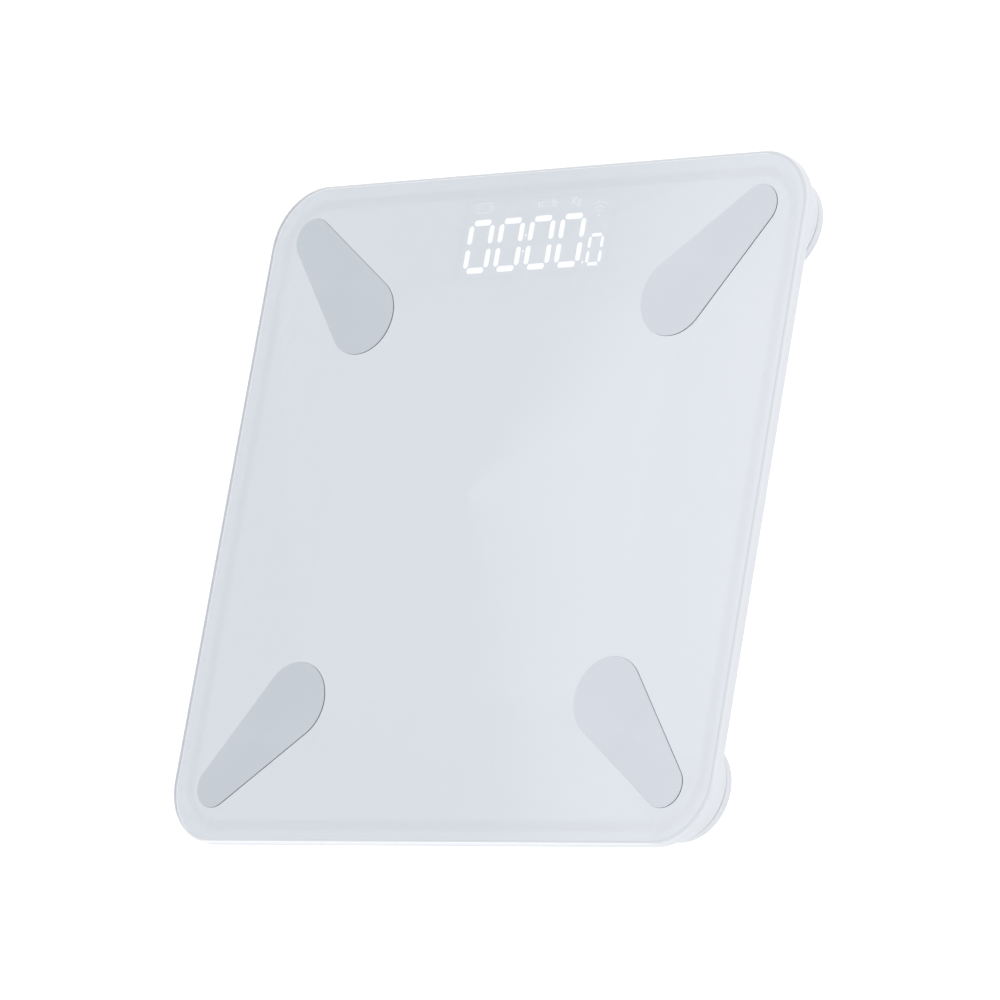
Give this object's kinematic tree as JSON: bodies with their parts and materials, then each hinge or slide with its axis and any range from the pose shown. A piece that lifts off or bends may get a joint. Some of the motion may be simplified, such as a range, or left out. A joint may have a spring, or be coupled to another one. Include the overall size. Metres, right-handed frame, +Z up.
{
  "type": "digital bathroom scale",
  "caption": "Square glass body-composition scale with teardrop steel electrodes, a hidden white LED display and round rubber-padded feet on load cells.",
  "frame": {"origin": "centre of the footprint on the floor, under the four rubber pads", "axes": "+Z up, +Y towards the display (the user's far side), +X to the user's right"},
  "size_m": [0.3, 0.3, 0.0214],
  "materials": {
    "clear_glass": "polished toughened glass",
    "silver_print": "silver-white printed film",
    "foam_tape": "soft white foam",
    "electrode_steel": "satin stainless plate",
    "tinned_brass": "tinned",
    "nickel_steel": "nickel plated",
    "tray_plastic": "fine spark-textured white ABS",
    "label_foil": "blank silver label",
    "load_cell_steel": "stamped spring steel",
    "retainer_plastic": "natural white",
    "lead_insulation": "thin PVC insulation",
    "foot_plastic": "smooth white ABS",
    "pad_rubber": "grey elastomer",
    "gauge_resin": "white sealant",
    "module_plastic": "white reflector",
    "lit_segment": "lit white diffuser",
    "unlit_segment": "unlit diffuser",
    "board_laminate": "green solder mask",
    "chip_resin": "moulded black resin",
    "shield_tin": "bright tin plate",
    "button_plastic": "grey ABS",
    "cell_wrap": "plain shrink sleeve"
  },
  "bodies": {
    "unit_button": {"unit_button": "button_plastic", "unit_switch_plunger": "button_plastic"},
    "battery_door": {"battery_door": "tray_plastic", "battery_door_foam": "foam_tape"},
    "root": {"glass_platform": "clear_glass", "backing_film": "silver_print", "platform_tape": "foam_tape", "electrode_front_left": "electrode_steel", "electrode_front_right": "electrode_steel", "electrode_rear_left": "electrode_steel", "electrode_rear_right": "electrode_steel", "electrode_tags": "tinned_brass", "electrode_nuts": "nickel_steel", "base_tray": "tray_plastic", "blank_label": "label_foil", "load_cell_plate_front_left": "load_cell_steel", "load_cell_retainer_front_left": "retainer_plastic", "load_cell_leads_front_left": "lead_insulation", "foot_cup_front_left": "foot_plastic", "foot_pad_front_left": "pad_rubber", "load_cell_plate_front_right": "load_cell_steel", "load_cell_retainer_front_right": "retainer_plastic", "load_cell_leads_front_right": "lead_insulation", "foot_cup_front_right": "foot_plastic", "foot_pad_front_right": "pad_rubber", "load_cell_plate_rear_left": "load_cell_steel", "load_cell_retainer_rear_left": "retainer_plastic", "load_cell_leads_rear_left": "lead_insulation", "foot_cup_rear_left": "foot_plastic", "foot_pad_rear_left": "pad_rubber", "load_cell_plate_rear_right": "load_cell_steel", "load_cell_retainer_rear_right": "retainer_plastic", "load_cell_leads_rear_right": "lead_insulation", "foot_cup_rear_right": "foot_plastic", "foot_pad_rear_right": "pad_rubber", "strain_gauges": "gauge_resin", "retainer_screws": "nickel_steel", "display_module": "module_plastic", "display_segments_lit": "lit_segment", "display_segments_off": "unlit_segment", "display_icon_cells": "lit_segment", "display_gasket": "foam_tape", "main_board": "board_laminate", "board_chips": "chip_resin", "radio_module": "shield_tin", "board_screws": "nickel_steel", "unit_switch": "chip_resin", "battery_cell_1": "cell_wrap", "battery_cell_2": "cell_wrap", "battery_cell_3": "cell_wrap", "battery_contacts": "nickel_steel", "battery_springs": "nickel_steel", "electrode_leads": "lead_insulation", "battery_leads": "lead_insulation"}
  },
  "joints": [
    {"name": "unit_button_press", "type": "slide", "parent": "root", "child": "unit_button", "axis": [0, 0, 1], "range_m": [0, 0.00035], "stiffness_N_per_m": 1000, "springref_m": -0.0004},
    {"name": "battery_door_hinge", "type": "hinge", "parent": "root", "child": "battery_door", "pos_m": [0, 0.03425, 0.0024], "axis": [1, 0, 0], "range_deg": [0, 75]}
  ]
}
